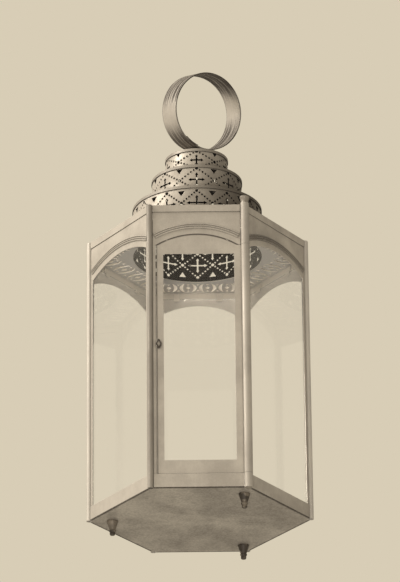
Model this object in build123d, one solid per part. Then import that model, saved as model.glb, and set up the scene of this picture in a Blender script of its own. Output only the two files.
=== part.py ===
"""Punched tin lantern, built from separate sheet, tube, rod and glass pieces.

Millimetres. Z is up and z = 0 is the ground under the feet. The lantern's axis is x = y = 0 and the door
faces -Y. Each piece is written to parts/NAME.step in this one frame.
"""

import os
from math import asin, atan2, cos, degrees, hypot, pi, radians, sin, tan

from build123d import *

# Plan of the six corner posts, measured from the axis to the post centres
CORNER_HALF = 120.0
FRONT_HALF = 52.0
HALF_DEPTH = 102.0

# Heights, from the underside of the base plate unless a comment says otherwise
FOOT_HEIGHT = 16.0
POST_LENGTH = 328.0
BASE_RAIL = 16.0
TOP_RAIL = 7.0
ARCH_CROWN_DROP = 33.5  # below the top of the posts
ARCH_RISE = 13.0
DECK_DROP = 16.5  # below the top of the posts

# Stock and fits
SHEET = 0.8
PLATE = 1.0
PANE = 2.0
SOLDER = 0.1  # gap filled by solder at butt joints
RUN_FIT = 0.06  # radial clearance of a turning fit
TURN_GAP = 0.4  # clear of anything that turns
DOOR_GAP = 0.6
PANE_GAP = 0.3

# Posts and hinge
POST_RADIUS = 3.3
POST_WALL = 0.7
HINGE_RADIUS = 4.6
HINGE_ROD = 2.6
ROD_HEAD_RADIUS = 5.3
ROD_HEAD_HEIGHT = 7.5
HINGE_RISE = 2.5  # the hinge post stands this much above the others

# Side frames
JAMB = 3.3
HEM = 0.6  # how far a folded rail stands in front of its sheet
MOULDING_FOOT = 6.6  # from the arch edge to the moulding
REED = 0.7  # radius of one reed
REED_PITCH = 2.2
REEDS = 3

# Door
STILE = 7.5
DOOR_RAIL = 15.5  # bottom rail of the door
DOOR_HEAD_DROP = 57.0  # top of the door's light below the top of the posts
PANE_LAP = 2.2
LIP = 1.8

# Catch
CATCH_HEIGHT = 165.0
CATCH_INSET = 2.1  # from the door's left edge to the spindle
CATCH_HALF_WIDTH = 3.2
CATCH_HALF_LENGTH = 6.4
CATCH_THICK = 1.8
CATCH_RIM = 1.2  # raised edge round the knob's dished face
SPINDLE = 1.2
TONGUE_HALF_WIDTH = 1.5
TONGUE_LENGTH = 5.0
TONGUE_THICK = 1.0

# Drums: radius, height above the top of the posts, crosses around, rows of crosses, arm of a cross
DRUM_LOW = (71.5, 38.0, 13, 2, 11.5)
DRUM_MID = (50.0, 73.0, 8, 1, 9.2)
DRUM_TOP = (34.5, 100.0, 5, 1, 7.6)
LEDGE_LIP = 2.4
LIP_GAP = 0.15
BIG_DOT = 1.9
SMALL_DOT = 1.05
EDGE_DOTS = 5  # small dots along one side of a lozenge
CAP_RISE = 12.0
CAP_FLAT = 8.0

# Deck piercings
PAIRS_PER_SIDE = 4
PAIR_CORNER = 8.0  # left free at each end of a side
TIP_LAND = 2.273  # left free beyond the crescents' tips on the narrowest side
CRESCENT_HALF = 9.8
CRESCENT_THICK = 3.8
POINT_INSET = 3.8  # from a crescent's tip to the middle of the triangle between the tips
GAP_INSET = 4.3  # the same for the triangle between two pairs

# Ring
RING_RADIUS = 44.0
RING_WIDTH = 28.0
RING_THICK = 1.2
RING_YAW = 34.5  # degrees, the near edge stands to the right of the far edge
RING_LEAN = 15.0  # degrees, the ring leans forward on its loose rivet
LAP_START = 236.0  # degrees round the ring, the bottom is 270
LAP_END = 260.0
RIVET = 2.5
SHOULDER = 1.5

# Feet and candle holder
LEFT_FOOT_INSET = 25.0  # from the left post's centre
RIGHT_FOOT_INSETS = (4.5, 19.7)  # across and in depth, from the front and rear right posts' centres
FOOT_TOP_RADIUS = 6.0
FOOT_TIP_RADIUS = 3.0
TENON = 2.0
PAN_RADIUS = 30.0
PAN_RIM = 6.0
SOCKET_BORE = 11.0
SOCKET_HEIGHT = 34.0

# Levels
z_plate = FOOT_HEIGHT
z_floor = z_plate + PLATE
z_sill = z_plate + BASE_RAIL
z_top = z_plate + POST_LENGTH
z_crown = z_top - ARCH_CROWN_DROP
z_spring = z_crown - ARCH_RISE
z_deck = z_top - DECK_DROP

# Offsets from the middle plane of a side, outward positive
face = SHEET / 2
pane_front = -face - PANE_GAP
pane_back = pane_front - PANE
channel_back = pane_back - PANE_GAP

CORNERS = {
    "left": (-CORNER_HALF, 0.0),
    "front_left": (-FRONT_HALF, -HALF_DEPTH),
    "front_right": (FRONT_HALF, -HALF_DEPTH),
    "right": (CORNER_HALF, 0.0),
    "rear_right": (FRONT_HALF, HALF_DEPTH),
    "rear_left": (-FRONT_HALF, HALF_DEPTH),
}
HINGE_CORNER = "front_right"

os.makedirs("parts", exist_ok=True)


def save(name, shape):
    """Write one piece, or one group of like pieces."""
    export_step(shape, f"parts/{name}.step")


def block(u0, u1, z0, z1):
    """Rectangle between two pairs of limits."""
    return Pos((u0 + u1) / 2, (z0 + z1) / 2) * Rectangle(u1 - u0, z1 - z0)


def outline(*points):
    """Filled polygon through the points as given."""
    return Polygon(*points, align=None)


def turned(*points):
    """Solid turned about the Z axis from a profile of radius and height."""
    return revolve(Plane.XZ * outline(*points), Axis.Z)


def rod(radius, z0, z1):
    """Round bar along Z."""
    return Pos(0, 0, z0) * Cylinder(radius, z1 - z0, align=(Align.CENTER, Align.CENTER, Align.MIN))


def tube(outer, inner, z0, z1):
    """Round tube along Z."""
    return rod(outer, z0, z1) - rod(inner, z0, z1)


def corner_clearance(corner):
    """Distance from a post centre to the sheets that end at it."""
    if corner == HINGE_CORNER:
        return HINGE_RADIUS + TURN_GAP
    return POST_RADIUS + SOLDER


class Side:
    """One side between two posts as seen from outside: u runs to the right and offsets run outward."""

    def __init__(self, left, right):
        (ax, ay), (bx, by) = CORNERS[left], CORNERS[right]
        self.length = hypot(bx - ax, by - ay)
        along = ((bx - ax) / self.length, (by - ay) / self.length, 0)
        outward = (along[1], -along[0], 0)
        self.plane = Plane(origin=((ax + bx) / 2, (ay + by) / 2, 0), x_dir=along, z_dir=outward)
        self.corner = CORNERS[left]
        self.outward = outward
        self.heading = degrees(atan2(along[1], along[0]))
        self.distance = ((ax + bx) * outward[0] + (ay + by) * outward[1]) / 2
        self.start = corner_clearance(left) - self.length / 2
        self.end = self.length / 2 - corner_clearance(right)
        self.middle = (self.start + self.end) / 2
        half_chord = (self.end - self.start) / 2 - JAMB
        self.arch = (half_chord**2 + ARCH_RISE**2) / (2 * ARCH_RISE)

    def slab(self, area, inner, outer):
        """Area drawn on the side, thick from one offset to another."""
        return extrude(self.plane.offset(inner) * area, amount=outer - inner)

    def under_arch(self, shrink=0.0):
        """Disc of the arch, drawn in by shrink."""
        return Pos(self.middle, z_crown - self.arch) * Circle(self.arch - shrink)

    def light(self):
        """Opening of the frame: between the jambs and under the arch."""
        left, right = self.start + JAMB, self.end - JAMB
        top = self.under_arch() & block(left, right, z_spring - ARCH_RISE, z_top)
        return block(left, right, z_sill - SHEET, z_spring - ARCH_RISE / 2) + top


SIDES = {
    "front": Side("front_left", "front_right"),
    "front_right": Side("front_right", "right"),
    "rear_right": Side("right", "rear_right"),
    "rear": Side("rear_right", "rear_left"),
    "rear_left": Side("rear_left", "left"),
    "front_left": Side("left", "front_left"),
}
FRONT = SIDES["front"]
door_left = FRONT.start + JAMB + DOOR_GAP
catch_u = door_left + CATCH_INSET
catch_z = z_plate + CATCH_HEIGHT


def hexagon(offset):
    """Plan outline with each side moved outward by the offset, notched round the posts."""
    sides = list(SIDES.values())
    points = []
    for side, before in zip(sides, sides[-1:] + sides[:-1]):
        ax, ay, _ = before.outward
        bx, by, _ = side.outward
        share = offset / (1 + ax * bx + ay * by)
        x, y = side.corner
        points.append((x + share * (ax + bx), y + share * (ay + by)))
    notches = []
    for corner, (x, y) in CORNERS.items():
        radius = HINGE_RADIUS if corner == HINGE_CORNER else POST_RADIUS
        notches.append(Pos(x, y) * Circle(radius + SOLDER))
    return outline(*points) - notches


def make_base():
    """Base plate, its rails, the feet and the candle holder."""
    across, depth = FRONT_HALF - RIGHT_FOOT_INSETS[0], HALF_DEPTH - RIGHT_FOOT_INSETS[1]
    feet = {
        "left": (LEFT_FOOT_INSET - CORNER_HALF, 0.0),
        "front_right": (across, -depth),
        "rear_right": (across, depth),
    }
    plan = hexagon(face + HEM)
    for corner, (x, y) in feet.items():
        plan -= Pos(x, y) * Circle(TENON + SOLDER)
        neck = 0.55 * FOOT_TOP_RADIUS
        foot = turned(
            (0, 0),
            (FOOT_TIP_RADIUS * 0.8, 0),
            (FOOT_TIP_RADIUS, 0.06 * FOOT_HEIGHT),
            (FOOT_TIP_RADIUS, 0.2 * FOOT_HEIGHT),
            (neck, 0.24 * FOOT_HEIGHT),
            (neck * 1.15, 0.28 * FOOT_HEIGHT),
            (neck * 1.15, 0.34 * FOOT_HEIGHT),
            (neck, 0.38 * FOOT_HEIGHT),
            (0.95 * FOOT_TOP_RADIUS, 0.86 * FOOT_HEIGHT),
            (FOOT_TOP_RADIUS, 0.92 * FOOT_HEIGHT),
            (FOOT_TOP_RADIUS, z_plate),
            (TENON, z_plate),
            (TENON, z_floor),
            (1.7 * TENON, z_floor),
            (1.4 * TENON, z_floor + PLATE),
            (0, z_floor + PLATE),
        )
        save(f"foot_{corner}", Pos(x, y, 0) * foot)
    save("base_plate", Pos(0, 0, z_plate) * extrude(plan, amount=PLATE))
    for name, side in SIDES.items():
        rail = side.slab(block(side.start, side.end, z_floor, z_sill), -face, face + HEM)
        rail += side.slab(block(side.start, side.end, z_floor, z_floor + SHEET), channel_back - SHEET, face)
        if side is not FRONT:
            wall = block(side.start, side.end, z_floor, z_floor + 0.6 * BASE_RAIL)
            rail += side.slab(wall, channel_back - SHEET, channel_back)
        save(f"base_rail_{name}", rail)
    pan = turned(
        (0, z_floor),
        (PAN_RADIUS - PAN_RIM / 3, z_floor),
        (PAN_RADIUS, z_floor + PAN_RIM),
        (PAN_RADIUS - SHEET, z_floor + PAN_RIM),
        (PAN_RADIUS - PAN_RIM / 3 - SHEET / 2, z_floor + SHEET),
        (0, z_floor + SHEET),
    )
    save("drip_pan", pan)
    z_seat = z_floor + SHEET
    z_mouth = z_seat + SOCKET_HEIGHT
    socket = tube(SOCKET_BORE + SHEET, SOCKET_BORE, z_seat, z_mouth)
    socket += tube(SOCKET_BORE + 2.5 * SHEET, SOCKET_BORE, z_mouth - 2 * SHEET, z_mouth)
    save("candle_socket", socket)


def make_posts():
    """Five plain posts, the two fixed lengths of the hinge post and the rod through it."""
    for corner, (x, y) in CORNERS.items():
        if corner == HINGE_CORNER:
            continue
        post = rod(POST_RADIUS, z_plate, z_top + POST_RADIUS / 2)
        post = fillet(post.edges().sort_by(Axis.Z)[-1:], POST_RADIUS / 2)
        post -= rod(POST_RADIUS - POST_WALL, z_plate, z_top - POST_RADIUS / 2)
        save(f"post_{corner}", Pos(x, y, 0) * post)
    x, y = CORNERS[HINGE_CORNER]
    bore = HINGE_ROD + RUN_FIT
    save("hinge_post_lower", Pos(x, y, 0) * tube(HINGE_RADIUS, bore, z_plate, z_sill))
    z_head = z_top + HINGE_RISE
    save("hinge_post_upper", Pos(x, y, 0) * tube(HINGE_RADIUS, bore, z_spring, z_head))
    hinge_rod = turned(
        (0, z_plate - PLATE),
        (0.6 * HINGE_RADIUS, z_plate - PLATE),
        (0.8 * HINGE_RADIUS, z_plate),
        (HINGE_ROD, z_plate),
        (HINGE_ROD, z_head),
        (0.96 * HINGE_RADIUS, z_head),
        (0.86 * HINGE_RADIUS, z_head + 0.2 * ROD_HEAD_HEIGHT),
        (0.96 * HINGE_RADIUS, z_head + 0.55 * ROD_HEAD_HEIGHT),
        (ROD_HEAD_RADIUS, z_head + 0.85 * ROD_HEAD_HEIGHT),
        (0.97 * ROD_HEAD_RADIUS, z_head + ROD_HEAD_HEIGHT),
        (0.6 * ROD_HEAD_RADIUS, z_head + 0.9 * ROD_HEAD_HEIGHT),
        (0, z_head + 0.85 * ROD_HEAD_HEIGHT),
    )
    save("hinge_rod", Pos(x, y, 0) * hinge_rod)


def make_moulding(side):
    """Reeded strip that follows the arch of a side."""
    inner = side.arch + MOULDING_FOOT
    outer = inner + REEDS * REED_PITCH
    profile = block(inner, outer, face, face + SHEET / 2)
    for k in range(REEDS):
        reed = Pos(inner + (k + 0.5) * REED_PITCH, face + SHEET / 2) * Circle(REED)
        profile += reed & block(inner, outer, face, face + 2 * SHEET)
    reach = degrees(asin((side.end - side.middle - PANE_GAP) / outer))
    strip = revolve(Plane.XZ * profile, Axis.Z, revolution_arc=2 * reach)
    return side.plane * Pos(side.middle, z_crown - side.arch, 0) * Rot(0, 0, 90 - reach) * strip


def make_sides():
    """Arched frames with their mouldings, top rails, panes and pane clips."""
    clips = []
    for name, side in SIDES.items():
        left, right = side.start, side.end
        sheet = block(left, right, z_sill, z_top) - side.light()
        if side is FRONT:
            sheet -= block(right - 1.5 * JAMB, right + JAMB, z_sill - SHEET, z_spring)
        save(f"frame_{name}", side.slab(sheet, -face, face))
        save(f"arch_moulding_{name}", make_moulding(side))
        rail = side.slab(block(left, right, z_top - TOP_RAIL, z_top + SHEET), face, face + SHEET)
        rail += side.slab(block(left, right, z_top, z_top + SHEET), -face - SHEET, face)
        rail += side.slab(block(left, right, z_top - TOP_RAIL / 2, z_top + SHEET), -face - SHEET, -face)
        save(f"top_rail_{name}", rail)
        if side is FRONT:
            continue
        z_pane = z_crown + 0.45 * (z_deck - z_crown)
        inset = PANE + PANE_GAP
        area = block(left + inset, right - inset, z_floor + SHEET, z_pane)
        save(f"pane_{name}", side.slab(area, pane_back, pane_front))
        reach = (right - left) / 4
        for u in (side.middle - reach, side.middle + reach):
            u0, u1 = u - JAMB, u + JAMB
            z_bend = z_pane + PANE_GAP
            back = channel_back - SHEET
            clip = side.slab(block(u0, u1, z_bend, z_bend + JAMB * 2), -face - SHEET, -face)
            clip += side.slab(block(u0, u1, z_bend, z_bend + SHEET), back, -face)
            clip += side.slab(block(u0, u1, z_pane - JAMB, z_bend + SHEET), back, channel_back)
            clips.append(clip)
    save("pane_clips", Compound(children=clips))


def make_door():
    """Door sheet with its hinge tube, pane and channels."""
    side = FRONT
    left = door_left
    right = side.length / 2 - HINGE_RADIUS - SOLDER
    below = block(left, right, z_sill, z_spring - DOOR_GAP)
    sheet = block(left, right, z_sill + DOOR_GAP, z_crown) & (side.under_arch(DOOR_GAP) + below)
    light_left, light_right = left + STILE, right - STILE
    light_low, light_high = z_sill + DOOR_RAIL, z_top - DOOR_HEAD_DROP
    sheet -= block(light_left, light_right, light_low, light_high)
    sheet -= Pos(catch_u, catch_z) * Circle(SPINDLE + RUN_FIT)
    save("door_frame", side.slab(sheet, -face, face))
    x, y = CORNERS[HINGE_CORNER]
    z_low, z_high = z_sill + PANE_GAP, z_spring - PANE_GAP
    save("door_hinge_tube", Pos(x, y, 0) * tube(HINGE_RADIUS, HINGE_ROD + RUN_FIT, z_low, z_high))
    u0, u1 = light_left - PANE_LAP, light_right + PANE_LAP
    z0, z1 = light_low - PANE_LAP, light_high + PANE_LAP
    save("door_pane", side.slab(block(u0, u1, z0, z1), pane_back, pane_front))
    walls = []
    for edge, inward in ((u0, 1), (u1, -1)):
        foot_u = sorted((edge - inward * (PANE_GAP + SHEET), edge - inward * PANE_GAP))
        lip_u = sorted((edge - inward * (PANE_GAP + SHEET), edge + inward * LIP))
        wall = side.slab(block(*foot_u, z0, z1), channel_back - SHEET, -face)
        walls.append(wall + side.slab(block(*lip_u, z0, z1), channel_back - SHEET, channel_back))
    s0, s1 = u0 + LIP + PANE_GAP, u1 - LIP - PANE_GAP
    wall = side.slab(block(s0, s1, z0 - PANE_GAP - SHEET, z0 - PANE_GAP), channel_back - SHEET, -face)
    lip = block(s0, s1, z0 - PANE_GAP - SHEET, z0 + LIP)
    walls.append(wall + side.slab(lip, channel_back - SHEET, channel_back))
    save("door_channels", Compound(children=walls))


def make_catch():
    """Lozenge knob on a spindle through the door, with the tongue that turns behind the jamb."""
    place = FRONT.plane * Pos(catch_u, catch_z, 0)
    half, tall = CATCH_HALF_WIDTH, CATCH_HALF_LENGTH
    lozenge = outline((half, 0), (0, tall), (-half, 0), (0, -tall))
    lozenge = fillet(lozenge.vertices(), SHEET)
    boss_face = face + TURN_GAP
    plate_face = boss_face + SHEET
    knob = Pos(0, 0, plate_face) * extrude(lozenge, amount=CATCH_THICK)
    knob = chamfer(knob.edges().group_by(Axis.Z)[-1], CATCH_THICK / 4)
    dish = 1 - CATCH_RIM / half
    knob -= Pos(0, 0, plate_face + CATCH_THICK / 2) * extrude(scale(lozenge, by=dish), amount=CATCH_THICK)
    knob += rod(1.8 * SPINDLE, boss_face, plate_face)
    tongue_front = -face - TURN_GAP
    tongue_back = tongue_front - TONGUE_THICK
    knob += rod(SPINDLE, tongue_back - SHEET, boss_face)
    knob += rod(1.5 * SPINDLE, tongue_back - SHEET, tongue_back)
    save("catch_knob", place * knob)
    area = block(-TONGUE_HALF_WIDTH, TONGUE_HALF_WIDTH, -TONGUE_LENGTH, 0) + Circle(1.5 * SPINDLE)
    area -= Circle(SPINDLE + SOLDER / 2)
    save("catch_tongue", place * Pos(0, 0, tongue_back) * extrude(area, amount=TONGUE_THICK))


def crescent(sign, tall):
    """One crescent of a facing pair, on the side given by the sign, its tips this far from the middle."""
    tip = sign * CRESCENT_HALF * 0.4
    bulge = sign * CRESCENT_HALF
    hollow = sign * (CRESCENT_HALF - CRESCENT_THICK)
    outer = ThreePointArc((tip, tall), (bulge, 0), (tip, -tall))
    inner = ThreePointArc((tip, -tall), (hollow, 0), (tip, tall))
    return make_face([outer, inner])


def triangle(half, tall):
    """Triangle that points along +Y, its middle at the origin."""
    return outline((-half, -tall / 2), (half, -tall / 2), (0, tall / 2))


def make_deck():
    """Pierced plate under the drums."""
    hole = DRUM_LOW[0] - SHEET
    tall = (min(side.distance for side in SIDES.values()) - hole) / 2 - TIP_LAND
    plan = hexagon(-face)
    cuts = [Circle(hole)]
    for side in SIDES.values():
        pitch = (side.length - 2 * PAIR_CORNER) / PAIRS_PER_SIDE
        inset = (side.distance - hole) / 2
        centre = side.plane.origin
        turn = Pos(centre.X, centre.Y) * Rot(0, 0, side.heading)
        point_in, point_out = triangle(1.7, 3.4), Rot(0, 0, 180) * triangle(1.7, 3.4)
        for k in range(PAIRS_PER_SIDE):
            u = (k - (PAIRS_PER_SIDE - 1) / 2) * pitch
            spot = turn * Pos(u, inset)
            cuts += [spot * crescent(1, tall), spot * crescent(-1, tall)]
            cuts.append(spot * outline((2.8, 0), (0, 4.2), (-2.8, 0), (0, -4.2)))
            point = tall - POINT_INSET
            cuts += [spot * Pos(0, -point) * point_in, spot * Pos(0, point) * point_out]
            if k:
                gap = turn * Pos(u - pitch / 2, inset)
                point = tall - GAP_INSET
                cuts += [gap * Pos(0, -point) * point_in, gap * Pos(0, point) * point_out]
    save("deck", Pos(0, 0, z_deck - SHEET) * extrude(plan - cuts, amount=SHEET))


def cross_outline(across, tall):
    """Cross with spear ends, its arms as long as across and tall."""
    stem = 0.9
    points = []
    for quarter in range(4):
        arm = across if quarter % 2 == 0 else tall
        head = 2.2 * stem
        for along, aside in (
            (stem, -stem),
            (0.64 * arm, -stem),
            (0.68 * arm, -head),
            (arm, 0),
            (0.68 * arm, head),
            (0.64 * arm, stem),
        ):
            c, s = cos(quarter * pi / 2), sin(quarter * pi / 2)
            points.append((along * c - aside * s, along * s + aside * c))
    return outline(*points)


def make_drum(name, spec, z0):
    """Punched drum: a chain of dotted lozenges, each round a cross, with triangles above and below."""
    radius, rise, count, rows, arm = spec
    z1 = z_top + rise
    wall = tube(radius, radius - SHEET, z0, z1)
    pitch = 2 * pi / count
    half = (z1 - z0) / (rows + 1) * 0.8
    middle = (z0 + z1) / 2
    tools = []

    def punch(shape, angle, z):
        """Cut a shape through the wall at an angle from the front."""
        out = (sin(angle), -cos(angle), 0)
        start = (out[0] * (radius + SHEET), out[1] * (radius + SHEET), z)
        plane = Plane(origin=start, x_dir=(cos(angle), sin(angle), 0), z_dir=out)
        tools.append(extrude(plane * shape, amount=-4 * SHEET))

    cross = cross_outline(arm, 0.62 * half)
    up = triangle(0.28 * half, 0.42 * half)
    down = Rot(0, 0, 180) * up
    big, small = Circle(BIG_DOT), Circle(SMALL_DOT)
    levels = [middle + (rows + 1 - 2 * k) * half / 2 for k in range(rows + 2)]
    for k in range(count):
        for level, z in enumerate(levels):
            shift = (k + 0.5 * (level % 2)) * pitch
            punch(big, shift, z)
            if 0 < level < rows + 1:
                punch(cross, shift + pitch / 2, z)
            if level == rows + 1:
                continue
            for turn in (-0.5, 0.5):
                for step in range(1, EDGE_DOTS + 1):
                    share = step / (EDGE_DOTS + 1)
                    punch(small, shift + turn * share * pitch, z + (levels[level + 1] - z) * share)
        last = (k + 0.5 * ((rows + 1) % 2) + 0.5) * pitch
        punch(down, (k + 0.5) * pitch, levels[0] - 0.2 * half)
        punch(up, last, levels[-1] + 0.2 * half)
    save(name, wall.cut(*tools))


def make_ledge(name, outer, inner, z):
    """Flat ring on top of a drum with a lip turned down outside it."""
    lip_in = outer + LIP_GAP
    lip_out = lip_in + SHEET
    profile = (
        (inner, z),
        (lip_in, z),
        (lip_in, z - LEDGE_LIP),
        (lip_out, z - LEDGE_LIP),
        (lip_out, z + SHEET),
        (inner, z + SHEET),
    )
    save(name, turned(*profile))


def make_top():
    """Deck, drums, ledges, cap and ring."""
    make_deck()
    make_drum("drum_lower", DRUM_LOW, z_deck)
    z_low = z_top + DRUM_LOW[1]
    make_ledge("ledge_lower", DRUM_LOW[0], DRUM_MID[0] - SHEET, z_low)
    make_drum("drum_middle", DRUM_MID, z_low + SHEET)
    z_mid = z_top + DRUM_MID[1]
    make_ledge("ledge_upper", DRUM_MID[0], DRUM_TOP[0] - SHEET, z_mid)
    make_drum("drum_upper", DRUM_TOP, z_mid + SHEET)
    z_rim = z_top + DRUM_TOP[1]
    z_cap = z_rim + CAP_RISE
    lip_in = DRUM_TOP[0] + LIP_GAP
    lip_out = lip_in + SHEET
    hole = RIVET + SOLDER
    cap = turned(
        (hole, z_cap - SHEET),
        (CAP_FLAT, z_cap - SHEET),
        (DRUM_TOP[0] - SHEET, z_rim),
        (lip_in, z_rim),
        (lip_in, z_rim - LEDGE_LIP),
        (lip_out, z_rim - LEDGE_LIP),
        (lip_out, z_rim + SHEET),
        (DRUM_TOP[0] - SHEET, z_rim + SHEET),
        (CAP_FLAT, z_cap),
        (hole, z_cap),
    )
    save("cap", cap)
    lean, yaw = radians(RING_LEAN), radians(RING_YAW)
    washer, head = 1.6 * RIVET, 2 * RIVET
    z_ring = z_cap + SHOULDER + TURN_GAP / 2 + washer * tan(lean)
    z_seat = z_ring + RING_THICK / cos(lean)
    z_head = z_seat + TURN_GAP / 2 + head**2 / (2 * (RING_RADIUS - RING_THICK)) + head * tan(lean)
    rivet = turned(
        (0, z_cap - SHEET - SHOULDER),
        (1.6 * RIVET, z_cap - SHEET - SHOULDER),
        (1.8 * RIVET, z_cap - SHEET),
        (RIVET, z_cap - SHEET),
        (RIVET, z_cap),
        (washer, z_cap),
        (washer, z_cap + SHOULDER),
        (RIVET, z_cap + SHOULDER),
        (RIVET, z_head),
        (head, z_head),
        (0.8 * head, z_head + 0.6 * SHOULDER),
        (0, z_head + SHOULDER),
    )
    save("ring_rivet", rivet)
    upright = Vector(sin(yaw) * sin(lean), -cos(yaw) * sin(lean), cos(lean))
    axis = Vector(sin(yaw) * cos(lean), -cos(yaw) * cos(lean), -sin(lean))
    centre = Vector(0, 0, z_ring) + upright * RING_RADIUS
    place = Plane(origin=centre, x_dir=(cos(yaw), sin(yaw), 0), z_dir=axis)
    inside = RING_RADIUS - RING_THICK
    half = RING_WIDTH / 2
    band = place * tube(RING_RADIUS, inside, -half, half)
    lap_profile = block(inside - RING_THICK, inside + RING_THICK / 2, -half, half)
    lap = revolve(Plane.XZ * lap_profile, Axis.Z, revolution_arc=LAP_END - LAP_START)
    ring = band + place * Rot(0, 0, LAP_START) * lap
    ring -= rod(RIVET + RUN_FIT, z_ring - 2 * SHEET, z_seat + 2 * SHEET)
    save("ring", ring)


make_base()
make_posts()
make_sides()
make_door()
make_catch()
make_top()
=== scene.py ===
from math import cos, hypot, pi, radians, sin

import bmesh
import bpy
from bpy.props import FloatProperty, FloatVectorProperty, PointerProperty
from mathutils import Matrix, Vector, noise


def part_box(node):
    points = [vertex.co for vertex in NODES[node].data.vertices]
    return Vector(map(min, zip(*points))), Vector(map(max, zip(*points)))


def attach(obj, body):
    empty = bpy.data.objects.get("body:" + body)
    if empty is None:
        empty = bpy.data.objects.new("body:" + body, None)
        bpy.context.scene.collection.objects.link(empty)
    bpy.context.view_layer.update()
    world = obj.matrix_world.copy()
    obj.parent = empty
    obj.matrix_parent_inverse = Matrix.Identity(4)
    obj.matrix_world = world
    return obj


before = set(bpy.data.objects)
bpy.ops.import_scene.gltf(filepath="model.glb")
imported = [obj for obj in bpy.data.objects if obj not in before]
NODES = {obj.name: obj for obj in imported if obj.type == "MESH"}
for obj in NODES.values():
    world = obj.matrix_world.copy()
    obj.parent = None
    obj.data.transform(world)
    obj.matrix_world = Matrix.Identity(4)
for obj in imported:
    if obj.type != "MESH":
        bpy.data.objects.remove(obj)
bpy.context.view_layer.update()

bl_info = {
    "name": "Punched Tin Lantern",
    "version": (1, 0, 0),
    "blender": (4, 5, 0),
    "location": "View3D > Sidebar > Lantern",
    "description": "Finishes and small fittings of a soldered tin candle lantern",
    "category": "Object",
}

MM = 0.001

# Sides with a fixed pane. The front has the door
GLAZED_SIDES = ("front_right", "rear_right", "rear", "rear_left", "front_left")

# Corner posts in order round the lantern. The door hangs on the hinge post
HINGE_POST = "hinge_post_lower"
POSTS = ("post_left", "post_front_left", HINGE_POST, "post_right", "post_rear_right", "post_rear_left")

# Punching of the drums: lozenges around, rows of crosses, dots along one side of a lozenge
PUNCHING = {"drum_lower": (13, 2, 5), "drum_middle": (8, 1, 5), "drum_upper": (5, 1, 5)}
LOZENGE_SHARE = 0.8  # of the height of a row
BIG_DOT = 1.9 * MM
SMALL_DOT = 1.05 * MM

# Crest of a burr: the share by which its height strays, and how finely along a metre
CREST_STRAY = 0.4
CREST_PER_METRE = 900

# Rim of a burr: its width is a share of the hole and a little more. The crest stands at a share of that
# width, the lip reaches into the hole and down by shares of the hole and of the height
RIM_SHARE, RIM_EXTRA = 0.45, 0.2 * MM
CREST_SHARE = 0.35
LIP_SHARE, LIP_DROP = 0.05, 0.5
RIM_SINK = 0.05 * MM  # foot of the rim below the wall's face, so that no gap shows

# Solder beads: distance between rings of points, size of the lumps, and the share by which they swell
BEAD_STEP = 4 * MM
LUMP = 5 * MM
LUMP_SWELL = 0.35
BEAD_GAP = 0.2 * MM  # from a post
SHEET_HALF = 0.4 * MM
SEAM_FLATTENED = 0.7  # share of its depth that a drum's seam has lost

# Marks on all tin, in millimetres: wiped streaks and crystal grain. Real grain is finer than a pixel, so
# here it is coarse enough to show
WIPE_MM = 2.5
GRAIN_MM = 1.4
PIT_DEPTH = 0.05 * MM
# Edges are painted bright within this distance: partly rubbed wear, partly a painted highlight
EDGE_BAND = 0.5 * MM  # how far from an edge it is rubbed bright

# Rolled sheet: size of the clouds of film, direction of the wiping, depth of the dents
ROLLED_SHEET = {"cloud_mm": 38, "streak": (1, 1, 0.08), "bump_mm": 0.5}

# How the carrying ring stands: turned about the upright, and leaning forward
RING_YAW = radians(34.5)
RING_LEAN = radians(15)
RING_HALF_WIDTH = 14 * MM

# A turn of one radian round the ring counts as this length of the pattern, so that its streaks run long
STREAK_RUN = 1.2 * MM

# The ring is painted in shade at the ends of this direction, the top and a little to the front
SHADE_AXIS = (-0.15, -0.38, 0.91)

# Depth of the dish in the catch's face
DISH_DEPTH = 0.9 * MM

# Half width of the dark line along the door's gap, and where it has faded out
GAP_LINE, GAP_LINE_FADED = 0.5 * MM, 1.4 * MM

# Height of the black tip under the cone of a foot
FOOT_TIP = 4 * MM

# Direction along which the drums are painted in shade: the right side, away from the key lamp, and low down
SHADED_SIDE = (0.94, 0.34, -0.5)
SHADE_STARTS, SHADE_FULL = -245 * MM, -158 * MM  # along that direction

# Distances from the axis between which the deck's grey film, partly smoke and partly painted light, thins out
DECK_SMOKE_INNER, DECK_SMOKE_OUTER = 68 * MM, 96 * MM

# The picture's frame, in pixels, and the lens in the same unit
PICTURE_HEIGHT = 582
LENS_PIXELS = 4052.6
SENSOR_MM = 36.0

# Lamps: where they stand and how wide they are, in metres. Both point at the lantern's middle
KEY_SPOT, KEY_WIDTH = (-2.9, -0.8, 2.66), 1.4
FILL_SPOT, FILL_WIDTH = (-0.2, -3.62, -1.35), 0.7
LAMP_AIM = Vector((0, 0, 0.3))
LAMP_WHITE = "#fffaf2"

# The soft light grows in this direction, down and to the left
SLOPE_AXIS = (-0.8, 0, -0.6)

# Floor disc in metres, and the distances from its middle between which it fades out
FLOOR_RADIUS = 1.7
FADE_STARTS, FADE_ENDS = 0.5, 1.6


def linear(code):
    """sRGB hex colour as linear red, green, blue and alpha."""
    channels = [int(code[i : i + 2], 16) / 255 for i in (1, 3, 5)]
    return [c / 12.92 if c <= 0.04045 else ((c + 0.055) / 1.055) ** 2.4 for c in channels] + [1.0]


def grain_scale(size_mm):
    """Texture scale that makes one feature about this large."""
    return 1.0 / (size_mm * MM)


def add(tree, kind, inputs=None, **settings):
    """Add one node. Settings are its attributes, inputs give each socket a value or a socket to link from."""
    made = tree.nodes.new(kind)
    for name, value in settings.items():
        setattr(made, name, value)
    for key, value in (inputs or {}).items():
        if isinstance(value, bpy.types.NodeSocket):
            tree.links.new(value, made.inputs[key])
        else:
            made.inputs[key].default_value = value
    return made


def blank_material(name):
    """New material with an empty node tree."""
    material = bpy.data.materials.new(name)
    material.use_nodes = True
    material.node_tree.nodes.clear()
    return material, material.node_tree


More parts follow.
